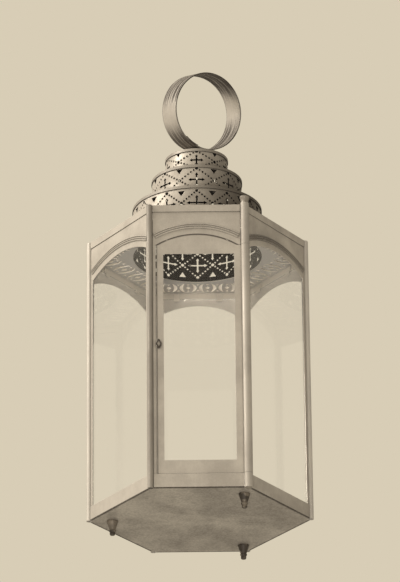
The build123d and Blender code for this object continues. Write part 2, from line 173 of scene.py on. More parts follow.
def colour_property(name, code, description):
    """Colour that a user may change."""
    return FloatVectorProperty(
        name=name, description=description, subtype="COLOR", size=4, min=0, max=1, default=linear(code)
    )


class LanternColours(bpy.types.PropertyGroup):
    """Colours of the finishes."""

    tin: colour_property("Tin", "#cdc4b6", "Dull tinplate where it is clean")
    tarnish: colour_property("Tarnish", "#b4aa9b", "Brown-grey film on old tinplate")
    # Grime also serves as painted shade: in hemmed-in corners and grooves, on the shaded parts of drums and
    # ring, and on the darker corner post
    grime_and_shade: colour_property("Grime", "#4a423a", "Dirt in the corners and along the joints")
    # Bare also serves as painted light: with rubbed wear on edges, and alone on inner walls, the drum walls
    # behind the frames, the deck's cut faces and the lighter posts
    bare_and_painted_light: colour_property("Bare edge", "#ece4d6", "Tin rubbed bright at an edge, or kept bright in shelter")
    soot: colour_property("Soot", "#261f1a", "Candle soot inside the drums")
    # Smoke also serves as painted light: the deck's film is pale enough to lift its shaded underside
    smoke_and_painted_light: colour_property("Smoke", "#bebab5", "Grey film under the deck")
    iron: colour_property("Iron", "#3b342d", "Blackened iron of the feet")
    # Bloom also serves as painted light: a painted highlight on the feet's edges, and the paler lit foot
    bloom_and_painted_light: colour_property("Bloom", "#978b7b", "Lighter brown bloom on iron")
    wire: colour_property("Wire", "#6f6558", "Dull drawn iron of the hinge rod and catch")
    solder: colour_property("Solder", "#a39b8d", "Lead solder gone dull")
    glass: colour_property("Glass", "#ffffff", "Clear old window glass")
    paper: colour_property("Paper", "#d8cdb6", "Pale backdrop and floor")


class LanternSizes(bpy.types.PropertyGroup):
    """Sizes of the small fittings that the finishing adds."""

    bead: FloatProperty(
        name="Solder bead", description="Radius of a solder bead", default=0.65 * MM, unit="LENGTH"
    )
    burr: FloatProperty(
        name="Burr", description="Height of the rim round a punched dot", default=0.35 * MM, unit="LENGTH"
    )
    seam: FloatProperty(
        name="Drum seam", description="Half width of a drum's soldered seam", default=1.3 * MM, unit="LENGTH"
    )


class LanternStage(bpy.types.PropertyGroup):
    """Camera and light."""

    distance: FloatProperty(
        name="Distance", description="From the camera to its target", default=4.5, unit="LENGTH"
    )
    elevation: FloatProperty(
        name="Elevation",
        description="The lantern is seen from below",
        default=radians(-23.07),
        unit="ROTATION",
    )
    roll: FloatProperty(
        name="Roll",
        description="Tilt of the camera about its own axis",
        default=radians(0.574),
        unit="ROTATION",
    )
    target: FloatVectorProperty(
        name="Target",
        description="Point at the middle of the picture",
        default=(0.0024, 0, 0.2864),
        unit="LENGTH",
    )
    key: FloatProperty(
        name="Key lamp", description="Power of the soft lamp at the upper left", default=130.0, unit="POWER"
    )
    fill: FloatProperty(
        name="Fill lamp", description="Power of the soft lamp low in front", default=48.0, unit="POWER"
    )
    ambient: FloatProperty(name="Ambient", description="Even part of the soft light all round", default=0.30)
    slope: FloatProperty(
        name="Slope", description="How much brighter the soft light is from below and the left", default=0.13
    )


def tin_surface(tree, colours, cloud_mm, streak, bump_mm, reach_mm=5, open_share=0.9, tone_shift=0.6):
    """Sockets of weathered tinplate. Painted shade, partly dirt, lies where less than the open share is clear
    within reach.
    """
    coords = add(tree, "ShaderNodeTexCoord").outputs["Object"]
    clouds = add(
        tree,
        "ShaderNodeTexNoise",
        {"Vector": coords, "Scale": grain_scale(cloud_mm), "Detail": 5.0, "Roughness": 0.6},
    )
    stretched = add(tree, "ShaderNodeMapping", {"Vector": coords, "Scale": streak})
    wipes = add(
        tree,
        "ShaderNodeTexNoise",
        {"Vector": stretched.outputs[0], "Scale": grain_scale(WIPE_MM), "Detail": 4.0, "Roughness": 0.65},
    )
    grain = add(tree, "ShaderNodeTexNoise", {"Vector": coords, "Scale": grain_scale(GRAIN_MM), "Detail": 2.0})
    film = add(
        tree,
        "ShaderNodeMapRange",
        {"Value": clouds.outputs["Fac"], "From Min": 0.28, "From Max": 0.74},
        interpolation_type="SMOOTHSTEP",
    )
    streaks = add(
        tree,
        "ShaderNodeMapRange",
        {"Value": wipes.outputs["Fac"], "From Min": 0.35, "From Max": 0.7, "To Min": -0.06, "To Max": 0.08},
    )
    specks = add(
        tree,
        "ShaderNodeMapRange",
        {"Value": grain.outputs["Fac"], "From Min": 0.3, "From Max": 0.7, "To Min": -0.12, "To Max": 0.12},
    )
    mottled = add(tree, "ShaderNodeMath", {0: film.outputs[0], 1: streaks.outputs[0]}, operation="ADD")
    age = add(
        tree,
        "ShaderNodeMath",
        {0: mottled.outputs[0], 1: specks.outputs[0]},
        operation="ADD",
        use_clamp=True,
    )
    aged = add(
        tree,
        "ShaderNodeMix",
        {0: age.outputs[0], 6: colours.tin, 7: colours.tarnish},
        data_type="RGBA",
    )
    # Painted shade, partly dirt: grime where the surface is hemmed in within reach
    corners = add(tree, "ShaderNodeAmbientOcclusion", {"Distance": reach_mm * MM}, samples=8)
    darkening = add(
        tree,
        "ShaderNodeMapRange",
        {
            "Value": corners.outputs["AO"],
            "From Min": open_share,
            "From Max": open_share - 0.5,
            "To Max": 0.85,
        },
        interpolation_type="SMOOTHSTEP",
    )
    shaded_and_dirty = add(
        tree,
        "ShaderNodeMix",
        {0: darkening.outputs[0], 6: aged.outputs[2], 7: colours.grime_and_shade},
        data_type="RGBA",
    )
    rounded = add(tree, "ShaderNodeBevel", {"Radius": EDGE_BAND}, samples=6)
    flat = add(tree, "ShaderNodeNewGeometry")
    agree = add(
        tree,
        "ShaderNodeVectorMath",
        {0: rounded.outputs[0], 1: flat.outputs["Normal"]},
        operation="DOT_PRODUCT",
    )
    # Edges painted bright: partly rubbed wear, partly a painted highlight along the sheet edges
    lightened = add(
        tree,
        "ShaderNodeMapRange",
        {"Value": agree.outputs["Value"], "From Min": 0.98, "From Max": 0.80, "To Max": tone_shift},
    )
    coloured = add(
        tree,
        "ShaderNodeMix",
        {0: lightened.outputs[0], 6: shaded_and_dirty.outputs[2], 7: colours.bare_and_painted_light},
        data_type="RGBA",
    )
    metal = add(tree, "ShaderNodeMapRange", {"Value": age.outputs[0], "To Min": 0.36, "To Max": 0.14})
    rough = add(tree, "ShaderNodeMapRange", {"Value": age.outputs[0], "To Min": 0.46, "To Max": 0.66})
    dents = add(
        tree,
        "ShaderNodeBump",
        {
            "Height": clouds.outputs["Fac"],
            "Distance": bump_mm * MM,
            "Strength": 1.0,
            "Normal": rounded.outputs[0],
        },
    )
    pits = add(
        tree,
        "ShaderNodeBump",
        {
            "Height": grain.outputs["Fac"],
            "Distance": PIT_DEPTH,
            "Strength": 0.6,
            "Normal": dents.outputs[0],
        },
    )
    return {
        "Coords": coords,
        "Geometry": flat,
        "Base Color": coloured.outputs[2],
        "Metallic": metal.outputs[0],
        "Roughness": rough.outputs[0],
        "Normal": pits.outputs[0],
        "Age": age.outputs[0],
        "Edges": lightened.outputs[0],
    }


def close_material(tree, sockets):
    """Principled shader fed by the sockets, and the output."""
    names = ("Base Color", "Metallic", "Roughness", "Normal")
    shader = add(tree, "ShaderNodeBsdfPrincipled", {name: sockets[name] for name in names})
    add(tree, "ShaderNodeOutputMaterial", {"Surface": shader.outputs[0]})


def lay_film(tree, surface, film, share):
    """Cover the surface with a film of one colour. The share is a number or a socket."""
    covered = add(tree, "ShaderNodeMix", {0: share, 6: surface["Base Color"], 7: film}, data_type="RGBA")
    surface["Base Color"] = covered.outputs[2]


def outward_share(tree, surface):
    """Socket that is 1 on faces that look up or out from the axis and 0 on those that look in or down."""
    flat = add(tree, "ShaderNodeVectorMath", {0: surface["Coords"], 1: (1, 1, 0)}, operation="MULTIPLY")
    radial = add(tree, "ShaderNodeVectorMath", {0: flat.outputs[0]}, operation="NORMALIZE")
    outward = add(tree, "ShaderNodeVectorMath", {0: radial.outputs[0], 1: (0, 0, 1)}, operation="ADD")
    facing = add(
        tree,
        "ShaderNodeVectorMath",
        {0: outward.outputs[0], 1: surface["Geometry"].outputs["Normal"]},
        operation="DOT_PRODUCT",
    )
    share = add(
        tree,
        "ShaderNodeMapRange",
        {"Value": facing.outputs["Value"], "From Min": -0.1, "From Max": 0.35},
        interpolation_type="SMOOTHSTEP",
    )
    return share.outputs[0]


def rim_distance(tree, coords):
    """Socket with the distance outside the hexagon through the post centres, below zero inside it."""
    centres = post_centres()
    farthest = -1.0
    for here, ahead in zip(centres, centres[1:] + centres[:1]):
        along = (ahead - here).normalized()
        outward = Vector((along.y, -along.x, 0))
        reach = add(tree, "ShaderNodeVectorMath", {0: coords, 1: outward}, operation="DOT_PRODUCT")
        side = here.dot(outward.to_2d())
        beyond = add(tree, "ShaderNodeMath", {0: reach.outputs["Value"], 1: side}, operation="SUBTRACT")
        widest = add(tree, "ShaderNodeMath", {0: beyond.outputs[0], 1: farthest}, operation="MAXIMUM")
        farthest = widest.outputs[0]
    return farthest


def door_gap_line(tree, surface):
    """Socket that is high along the door's gap: an arc over its head, and down its free side."""
    points = [NODES["door_frame"].matrix_world @ v.co for v in NODES["door_frame"].data.vertices]
    left = min(p.x for p in points)
    shoulder = max(p.z for p in points if p.x < left + 0.1 * MM)
    crown = max(points, key=lambda p: p.z)
    rise = crown.z - shoulder
    radius = ((crown.x - left) ** 2 + rise**2) / (2 * rise)
    middle = (crown.x, 0, crown.z - radius)
    flat = add(tree, "ShaderNodeVectorMath", {0: surface["Coords"], 1: (1, 0, 1)}, operation="MULTIPLY")
    reach = add(tree, "ShaderNodeVectorMath", {0: flat.outputs[0], 1: middle}, operation="DISTANCE")
    over = add(tree, "ShaderNodeMath", {0: reach.outputs["Value"], 1: radius}, operation="SUBTRACT")
    parts = add(tree, "ShaderNodeSeparateXYZ", {0: surface["Coords"]})
    beside = add(tree, "ShaderNodeMath", {0: parts.outputs["X"], 1: left}, operation="SUBTRACT")
    above = add(tree, "ShaderNodeMath", {0: parts.outputs["Z"], 1: shoulder}, operation="GREATER_THAN")
    off = add(
        tree,
        "ShaderNodeMix",
        {0: above.outputs[0], 2: beside.outputs[0], 3: over.outputs[0]},
        data_type="FLOAT",
    )
    near = add(tree, "ShaderNodeMath", {0: off.outputs[0]}, operation="ABSOLUTE")
    line = add(
        tree,
        "ShaderNodeMapRange",
        {"Value": near.outputs[0], "From Min": GAP_LINE_FADED, "From Max": GAP_LINE, "To Max": 0.7},
        interpolation_type="SMOOTHSTEP",
    )
    return line.outputs[0]


def door_front_tin(colours):
    """Rolled sheet of the door and of the front round it, with a dark line along the gap."""
    material, tree = blank_material("door_front_tin")
    surface = tin_surface(tree, colours, **ROLLED_SHEET)
    lay_film(tree, surface, colours.grime_and_shade, door_gap_line(tree, surface))
    close_material(tree, surface)
    return material


def aged_tinplate(colours):
    """Hot-dipped tinplate, rolled and hand cut: a dull warm sheen, clouds of brown film, bright edges."""
    material, tree = blank_material("aged_tinplate")
    close_material(tree, tin_surface(tree, colours, **ROLLED_SHEET))
    return material


def inner_lit_tinplate(colours):
    """Rolled sheet as a wall: painted light makes its inner faces paler, most of all over the deck."""
    material, tree = blank_material("inner_lit_tinplate")
    surface = tin_surface(tree, colours, **ROLLED_SHEET)
    outside = outward_share(tree, surface)
    height = add(tree, "ShaderNodeSeparateXYZ", {0: surface["Coords"]})
    over_deck = add(
        tree,
        "ShaderNodeMapRange",
        {
            "Value": height.outputs["Z"],
            "From Min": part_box("deck")[0].z,
            "From Max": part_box("deck")[1].z,
            "To Min": 0.55,
            "To Max": 1.0,
        },
    )
    # Painted light: inner faces are covered with pale tin, more above the deck
    painted_inner_light = add(tree, "ShaderNodeMapRange", {"Value": outside, "To Min": over_deck.outputs[0], "To Max": 0.0})
    lay_film(tree, surface, colours.bare_and_painted_light, painted_inner_light.outputs[0])
    close_material(tree, surface)
    return material


def reeded_tinplate(colours, name, open_share):
    """Narrow reeds rolled into a strip: painted shade, partly dirt, darkens the grooves and draws fine lines
    along the arch.
    """
    material, tree = blank_material(name)
    surface = tin_surface(
        tree, colours, cloud_mm=38, streak=(1, 1, 1), bump_mm=0.1, reach_mm=2.5, open_share=open_share
    )
    close_material(tree, surface)
    return material


def drawn_tin_tube(colours, name, film, film_share):
    """Tin seamed round a rod and wiped lengthwise: long streaks up the posts, painted shade along their
    joints, and a film of the given colour over each copy: painted light on most posts, painted shade on one.
    """
    material, tree = blank_material(name)
    surface = tin_surface(
        tree, colours, cloud_mm=60, streak=(1, 1, 0.02), bump_mm=0.2, reach_mm=4, open_share=1.12
    )
    lay_film(tree, surface, film, film_share)
    close_material(tree, surface)
    return material


def sooted_punched_tin(colours, name, grime_share):
    """Punched tinplate: sooty inside and in the cuts, with painted shade on the right side and low down, and
    painted light on the wall behind the frames.
    """
    material, tree = blank_material(name)
    surface = tin_surface(tree, colours, cloud_mm=30, streak=(1, 1, 0.3), bump_mm=0.45, tone_shift=0.1)
    lay_film(tree, surface, colours.grime_and_shade, grime_share)
    outside = outward_share(tree, surface)
    # Painted shade: the right side and the low part of the drums are darkened
    shaded_side = add(tree, "ShaderNodeVectorMath", {0: surface["Coords"], 1: SHADED_SIDE}, operation="DOT_PRODUCT")
    smoke_and_painted_light = add(
        tree,
        "ShaderNodeMapRange",
        {"Value": shaded_side.outputs["Value"], "From Min": SHADE_STARTS, "From Max": SHADE_FULL, "To Max": 0.9},
        interpolation_type="SMOOTHSTEP",
    )
    lay_film(tree, surface, colours.grime_and_shade, smoke_and_painted_light.outputs[0])
    # Painted light: the drum wall down in the channel behind the frames is covered with pale tin
    height = add(tree, "ShaderNodeSeparateXYZ", {0: surface["Coords"]})
    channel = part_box("top_rail_front")[1].z
    painted_channel_light = add(
        tree,
        "ShaderNodeMapRange",
        {
            "Value": height.outputs["Z"],
            "From Min": channel + 3 * MM,
            "From Max": channel - 6 * MM,
            "To Max": 0.8,
        },
        interpolation_type="SMOOTHSTEP",
    )
    lay_film(tree, surface, colours.bare_and_painted_light, painted_channel_light.outputs[0])
    blackened = add(
        tree,
        "ShaderNodeMix",
        {0: outside, 6: colours.soot, 7: surface["Base Color"]},
        data_type="RGBA",
    )
    metal = add(tree, "ShaderNodeMath", {0: surface["Metallic"], 1: outside}, operation="MULTIPLY")
    rough = add(tree, "ShaderNodeMapRange", {"Value": outside, "To Min": 0.9, "To Max": surface["Roughness"]})
    surface["Base Color"] = blackened.outputs[2]
    surface["Metallic"] = metal.outputs[0]
    surface["Roughness"] = rough.outputs[0]
    close_material(tree, surface)
    return material


def deck_tin_smoke_and_light(colours):
    """Flat pierced tin over the flame: a cool matt grey film, partly smoke and partly painted light, thicker
    towards the chimney; painted light on the cut faces.
    """
    material, tree = blank_material("deck_tin_smoke_and_light")
    surface = tin_surface(tree, colours, cloud_mm=40, streak=(1, 1, 1), bump_mm=0.1)
    # Grey film, partly smoke and partly painted light that lifts the shaded underside
    flat = add(tree, "ShaderNodeVectorMath", {0: surface["Coords"], 1: (1, 1, 0)}, operation="MULTIPLY")
    away = add(tree, "ShaderNodeVectorMath", {0: flat.outputs[0]}, operation="LENGTH")
    smoke_and_painted_light = add(
        tree,
        "ShaderNodeMapRange",
        {
            "Value": away.outputs["Value"],
            "From Min": DECK_SMOKE_INNER,
            "From Max": DECK_SMOKE_OUTER,
            "To Min": 0.9,
            "To Max": 0.75,
        },
    )
    lay_film(tree, surface, colours.smoke_and_painted_light, smoke_and_painted_light.outputs[0])
    # Painted light: the cut faces of the holes are covered with pale tin
    facing = add(tree, "ShaderNodeSeparateXYZ", {0: surface["Geometry"].outputs["Normal"]})
    level = add(tree, "ShaderNodeMath", {0: facing.outputs["Z"]}, operation="ABSOLUTE")
    cut = add(tree, "ShaderNodeMath", {0: level.outputs[0], 1: 0.5}, operation="LESS_THAN")
    lay_film(tree, surface, colours.bare_and_painted_light, cut.outputs[0])
    close_material(tree, surface)
    return material


def worn_base_tin(colours):
    """Underside of the base: scuffed, stained mid grey with pale specks and a dark line round the rim."""
    material, tree = blank_material("worn_base_tin")
    surface = tin_surface(tree, colours, cloud_mm=60, streak=(1, 1, 1), bump_mm=0.15)
    speck = add(
        tree,
        "ShaderNodeTexNoise",
        {"Vector": surface["Coords"], "Scale": grain_scale(2.4), "Detail": 3.0, "Roughness": 0.8},
    )
    scuff = add(
        tree,
        "ShaderNodeMapRange",
        {"Value": speck.outputs["Fac"], "From Min": 0.35, "From Max": 0.65, "To Min": 0.42, "To Max": 0.06},
    )
    blotch = add(
        tree,
        "ShaderNodeTexNoise",
        {"Vector": surface["Coords"], "Scale": grain_scale(26), "Detail": 5.0, "Roughness": 0.7},
    )
    stain = add(
        tree,
        "ShaderNodeMapRange",
        {"Value": blotch.outputs["Fac"], "From Min": 0.38, "From Max": 0.66, "To Min": -0.06, "To Max": 0.15},
        interpolation_type="SMOOTHSTEP",
    )
    stained = add(
        tree,
        "ShaderNodeMath",
        {0: scuff.outputs[0], 1: stain.outputs[0]},
        operation="ADD",
        use_clamp=True,
    )
    reach = rim_distance(tree, surface["Coords"])
    rim = add(
        tree,
        "ShaderNodeMapRange",
        {"Value": reach, "From Min": -2.0 * MM, "From Max": 0.4 * MM, "To Max": 0.75},
        interpolation_type="SMOOTHSTEP",
    )
    darkening = add(
        tree,
        "ShaderNodeMath",
        {0: stained.outputs[0], 1: rim.outputs[0]},
        operation="ADD",
        use_clamp=True,
    )
    lay_film(tree, surface, colours.grime_and_shade, darkening.outputs[0])
    close_material(tree, surface)
    return material


def rolled_tin_band(colours, centre, turn, radius):
    """Strip rolled into the carrying ring: streaks run round it, painted shade at top and foot, and darker
    along both edges.
    """
    material, tree = blank_material("rolled_tin_band")
    surface = tin_surface(tree, colours, cloud_mm=30, streak=(1, 1, 1), bump_mm=0.4)
    turned = add(
        tree,
        "ShaderNodeMapping",
        {"Vector": surface["Coords"], "Location": centre, "Rotation": turn},
        vector_type="TEXTURE",
    )
    parts = add(tree, "ShaderNodeSeparateXYZ", {0: turned.outputs[0]})
    angle = add(tree, "ShaderNodeMath", {0: parts.outputs["Z"], 1: parts.outputs["X"]}, operation="ARCTAN2")
    around = add(tree, "ShaderNodeMath", {0: angle.outputs[0], 1: STREAK_RUN}, operation="MULTIPLY")
    lined_up = add(tree, "ShaderNodeCombineXYZ", {"X": parts.outputs["Y"], "Y": around.outputs[0]})
    lines = add(
        tree,
        "ShaderNodeTexNoise",
        {"Vector": lined_up.outputs[0], "Scale": grain_scale(2.2), "Detail": 4.0, "Roughness": 0.7},
    )
    # Painted shade towards both ends of the shade axis, broken by the streaks
    lifted = add(tree, "ShaderNodeVectorMath", {0: surface["Coords"], 1: centre}, operation="SUBTRACT")
    height = add(tree, "ShaderNodeVectorMath", {0: lifted.outputs[0], 1: SHADE_AXIS}, operation="DOT_PRODUCT")
    share = add(tree, "ShaderNodeMath", {0: height.outputs["Value"], 1: radius}, operation="DIVIDE")
    ends = add(tree, "ShaderNodeMath", {0: share.outputs[0]}, operation="ABSOLUTE")
    painted_shade = add(
        tree,
        "ShaderNodeMapRange",
        {"Value": ends.outputs[0], "From Min": 0.08, "From Max": 0.68, "To Min": 0.05, "To Max": 1.0},
        interpolation_type="SMOOTHSTEP",
    )
    streaked = add(
        tree,
        "ShaderNodeMapRange",
        {"Value": lines.outputs["Fac"], "From Min": 0.40, "From Max": 0.60, "To Min": 0.25, "To Max": 1.5},
    )
    tone_shift = add(
        tree,
        "ShaderNodeMath",
        {0: painted_shade.outputs[0], 1: streaked.outputs[0]},
        operation="MULTIPLY",
        use_clamp=True,
    )
    aside = add(tree, "ShaderNodeMath", {0: parts.outputs["Y"]}, operation="ABSOLUTE")
    rim = add(
        tree,
        "ShaderNodeMapRange",
        {
            "Value": aside.outputs[0],
            "From Min": RING_HALF_WIDTH - 1.2 * MM,
            "From Max": RING_HALF_WIDTH - 0.3 * MM,
            "To Max": 0.6,
        },
    )
    darkening = add(tree, "ShaderNodeMath", {0: tone_shift.outputs[0], 1: rim.outputs[0]}, operation="MAXIMUM")
    lay_film(tree, surface, colours.grime_and_shade, darkening.outputs[0])
    for name, shaded_value in (("Roughness", 0.85), ("Metallic", 0.0)):
        dulled = add(
            tree,
            "ShaderNodeMapRange",
            {"Value": darkening.outputs[0], "To Min": surface[name], "To Max": shaded_value},
        )
        surface[name] = dulled.outputs[0]
    close_material(tree, surface)
    return material


def blackened_iron(colours, name, painted_light_share):
    """Turned iron blacked over a fire: near black, a brown bloom in patches, bloom on the edges that is
    partly a painted highlight, and the cone painted paler as painted light.
    """
    material, tree = blank_material(name)
    surface = tin_surface(tree, colours, cloud_mm=6, streak=(1, 1, 1), bump_mm=0.15)
    bloomed = add(
        tree,
        "ShaderNodeMix",
        {0: surface["Age"], 6: colours.iron, 7: colours.grime_and_shade},
        data_type="RGBA",
    )
    surface["Base Color"] = bloomed.outputs[2]
    # Bloom on the edges: partly wear, partly a painted highlight
    lay_film(tree, surface, colours.bloom_and_painted_light, surface["Edges"])
    patches = add(
        tree,
        "ShaderNodeTexNoise",
        {"Vector": surface["Coords"], "Scale": grain_scale(7), "Detail": 3.0},
    )
    scraped = add(
        tree,
        "ShaderNodeMapRange",
        {"Value": patches.outputs["Fac"], "From Min": 0.5, "From Max": 0.64, "To Max": 0.6},
        interpolation_type="SMOOTHSTEP",
    )
    lay_film(tree, surface, colours.bloom_and_painted_light, scraped.outputs[0])
    # Painted light: above the tip the cone is covered with bloom by the given share
    height = add(tree, "ShaderNodeSeparateXYZ", {0: surface["Coords"]})
    lightened = add(
        tree,
        "ShaderNodeMapRange",
        {
            "Value": height.outputs["Z"],
            "From Min": FOOT_TIP,
            "From Max": FOOT_TIP + 2 * MM,
            "To Max": painted_light_share,
        },
    )
    lay_film(tree, surface, colours.bloom_and_painted_light, lightened.outputs[0])
    close_material(tree, surface)
    return material


def worn_catch_iron(colours, dish_floor):
    """Small iron knob: black on its rim, thumbed bright in the dish of its face."""
    material, tree = blank_material("worn_catch_iron")
    surface = tin_surface(tree, colours, cloud_mm=8, streak=(1, 1, 1), bump_mm=0.05)
    parts = add(tree, "ShaderNodeSeparateXYZ", {0: surface["Coords"]})
    off = add(tree, "ShaderNodeMath", {0: parts.outputs["Y"], 1: dish_floor}, operation="SUBTRACT")
    away = add(tree, "ShaderNodeMath", {0: off.outputs[0]}, operation="ABSOLUTE")
    dished = add(
        tree,
        "ShaderNodeMapRange",
        {"Value": away.outputs[0], "From Min": 0.2 * MM, "From Max": 0.1 * MM, "To Max": 0.8},
    )
    thumbed = add(
        tree,
        "ShaderNodeMix",
        {0: dished.outputs[0], 6: colours.grime_and_shade, 7: surface["Base Color"]},
        data_type="RGBA",
    )
    surface["Base Color"] = thumbed.outputs[2]
    close_material(tree, surface)
    return material


def dull_iron_wire(colours):
    """Drawn iron wire gone dull: a darker grey than the tin, rubbed where fingers turn it."""
    material, tree = blank_material("dull_iron_wire")
    surface = tin_surface(tree, colours, cloud_mm=8, streak=(1, 1, 0.2), bump_mm=0.1)
    lay_film(tree, surface, colours.wire, 0.6)
    close_material(tree, surface)
    return material


def dull_solder(colours):
    """Tin-lead solder run along a joint: lumpy, grey and soft-edged."""
    material, tree = blank_material("dull_solder")
    surface = tin_surface(tree, colours, cloud_mm=4, streak=(1, 1, 1), bump_mm=0.15)
    lay_film(tree, surface, colours.solder, 0.7)
    close_material(tree, surface)
    return material


def old_window_glass(colours):
    """Blown sheet glass, clear and a little wavy: dust softens the gloss, and its edge faces are dark."""
    material, tree = blank_material("old_window_glass")
    coords = add(tree, "ShaderNodeTexCoord").outputs["Object"]
    waves = add(tree, "ShaderNodeTexNoise", {"Vector": coords, "Scale": grain_scale(45), "Detail": 1.0})
    ripple = add(
        tree,
        "ShaderNodeBump",
        {"Height": waves.outputs["Fac"], "Distance": 0.08 * MM, "Strength": 0.5},
    )
    dust = add(tree, "ShaderNodeTexNoise", {"Vector": coords, "Scale": grain_scale(18), "Detail": 4.0})
    haze = add(
        tree,
        "ShaderNodeMapRange",
        {"Value": dust.outputs["Fac"], "From Min": 0.45, "From Max": 0.75, "To Min": 0.0, "To Max": 0.05},
    )
    flat = add(tree, "ShaderNodeNewGeometry")
    facing = add(tree, "ShaderNodeSeparateXYZ", {0: flat.outputs["Normal"]})
    level = add(tree, "ShaderNodeMath", {0: facing.outputs["Z"]}, operation="ABSOLUTE")
    edge = add(tree, "ShaderNodeMath", {0: level.outputs[0], 1: 0.5}, operation="GREATER_THAN")
    body = add(
        tree,
        "ShaderNodeMix",
        {0: edge.outputs[0], 6: colours.glass, 7: colours.grime_and_shade},
        data_type="RGBA",
    )
    shader = add(
        tree,
        "ShaderNodeBsdfPrincipled",
        {
            "Base Color": body.outputs[2],
            "Roughness": haze.outputs[0],
            "IOR": 1.5,
            "Specular Tint": (0.5, 0.5, 0.5, 1),  # dust halves what it mirrors
            "Transmission Weight": 1.0,
            "Normal": ripple.outputs[0],
        },
    )
    add(tree, "ShaderNodeOutputMaterial", {"Surface": shader.outputs[0]})
    return material


def dress(names, material):
    """Give the named CAD nodes this material."""
    for name in names:
        slots = NODES[name].data.materials
        slots.clear()
        slots.append(material)


def named(*starts):
    """CAD nodes whose names start so."""
    found = [name for name in NODES if name.startswith(starts)]
    if not found:
        raise RuntimeError(f"no CAD node is named like {starts}")
    return found


def new_piece(name, mesh, material, body):
    """Finish a bmesh as a piece that rides on a body."""
    bmesh.ops.recalc_face_normals(mesh, faces=mesh.faces)
    data = bpy.data.meshes.new(name)
    mesh.to_mesh(data)
    mesh.free()
    data.shade_smooth()
    data.materials.append(material)
    piece = bpy.data.objects.new(name, data)
    bpy.context.scene.collection.objects.link(piece)
    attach(piece, body)


def bead_along_z(mesh, x, y, low, high, radius):
    """Lumpy upright bead of solder."""
    rings = max(4, int((high - low) / BEAD_STEP))
    place = Matrix.Translation((x, y, (low + high) / 2))
    made = bmesh.ops.create_cone(
        mesh, cap_ends=True, segments=8, radius1=radius, radius2=radius, depth=high - low, matrix=place
    )
    upright = {e for v in made["verts"] for e in v.link_edges if abs(e.verts[0].co.z - e.verts[1].co.z) > MM}
    bmesh.ops.subdivide_edges(mesh, edges=list(upright), cuts=rings, use_grid_fill=False)
    for v in mesh.verts:
        if hypot(v.co.x - x, v.co.y - y) < 1.5 * radius and low - MM < v.co.z < high + MM:
            swell = 1 + LUMP_SWELL * noise.noise(Vector((x, y, v.co.z)) / LUMP)
            v.co.x = x + (v.co.x - x) * swell
            v.co.y = y + (v.co.y - y) * swell


def post_centres():
    """Middle of each corner post's plan, in order round the lantern."""
    centres = []
    for name in POSTS:
        low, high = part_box(name)
        centres.append(((low + high) / 2).to_2d())
    return centres


def punched_dots(node):
    """Radius, angle and height of each round hole of a drum."""
    count, rows, steps = PUNCHING[node]
    low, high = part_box(node)
    pitch = 2 * pi / count
    half = (high.z - low.z) / (rows + 1) * LOZENGE_SHARE
    middle = (low.z + high.z) / 2
    levels = [middle + (rows + 1 - 2 * k) * half / 2 for k in range(rows + 2)]
    dots = []
    for k in range(count):
        for level, z in enumerate(levels):
            angle = (k + 0.5 * (level % 2)) * pitch
            dots.append((BIG_DOT, angle, z))
            if level == rows + 1:
                continue
            for turn in (-0.5, 0.5):
                for step in range(1, steps + 1):
                    share = step / (steps + 1)
                    drop = (levels[level + 1] - z) * share
                    dots.append((SMALL_DOT, angle + turn * share * pitch, z + drop))
    return dots


class LANTERN_OT_tin_body(bpy.types.Operator):
    """Finish the posts, frames, rails, mouldings, door and candle holder"""

    bl_idname = "lantern.tin_body"
    bl_label = "Tin Body"

    def execute(self, context):
        colours = context.scene.lantern_colours
        sheet = aged_tinplate(colours)
        dress(named("top_rail_", "base_rail_"), sheet)
        dress(named("frame_") + ["pane_clips"], inner_lit_tinplate(colours))
        dress(["door_frame", "frame_front"], door_front_tin(colours))
        dress(named("arch_moulding_"), reeded_tinplate(colours, "reeded_tinplate", open_share=1.02))
        # Painted shade: the mouldings on the right side get a copy with more shade in the grooves
        shaded_side = ["arch_moulding_front_right", "arch_moulding_rear_right"]
        dress(shaded_side, reeded_tinplate(colours, "shaded_reeded_tinplate", open_share=1.25))
        dress(["door_channels", "drip_pan", "candle_socket"], sheet)
        # Painted light: most posts are covered with pale tin
        dress(named("post_"), drawn_tin_tube(colours, "drawn_tin_tube", colours.bare_and_painted_light, film_share=0.45))
        # Painted shade: the front left post gets a dark film
        shaded_tube = drawn_tin_tube(colours, "shaded_tin_tube", colours.grime_and_shade, film_share=0.35)
        dress(["post_front_left"], shaded_tube)
        # A little painted light on the hinge post and the door's hinge tube
        lightly_lit = drawn_tin_tube(colours, "lightly_lit_tin_tube", colours.bare_and_painted_light, film_share=0.1)
        dress(named("hinge_post_", "door_hinge_tube"), lightly_lit)
        dress(["base_plate"], worn_base_tin(colours))
        return {"FINISHED"}


class LANTERN_OT_punched_top(bpy.types.Operator):
    """Finish the punched drums with their ledges and cap, and the pierced deck"""

    bl_idname = "lantern.punched_top"
    bl_label = "Punched Top"

    def execute(self, context):
        colours = context.scene.lantern_colours
        dress(named("drum_"), sooted_punched_tin(colours, "sooted_punched_tin", grime_share=0.0))
        dress(named("ledge_", "cap"), sooted_punched_tin(colours, "sooted_ledge_tin", grime_share=0.35))
        dress(["deck"], deck_tin_smoke_and_light(colours))
        return {"FINISHED"}


class LANTERN_OT_carrying_ring(bpy.types.Operator):
    """Finish the carrying ring"""

    bl_idname = "lantern.carrying_ring"
    bl_label = "Carrying Ring"

    def execute(self, context):
        low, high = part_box("ring")
        centre = (low + high) / 2
        turn = (RING_LEAN, 0, RING_YAW)
        dress(["ring"], rolled_tin_band(context.scene.lantern_colours, centre, turn, (high.z - low.z) / 2))
        return {"FINISHED"}


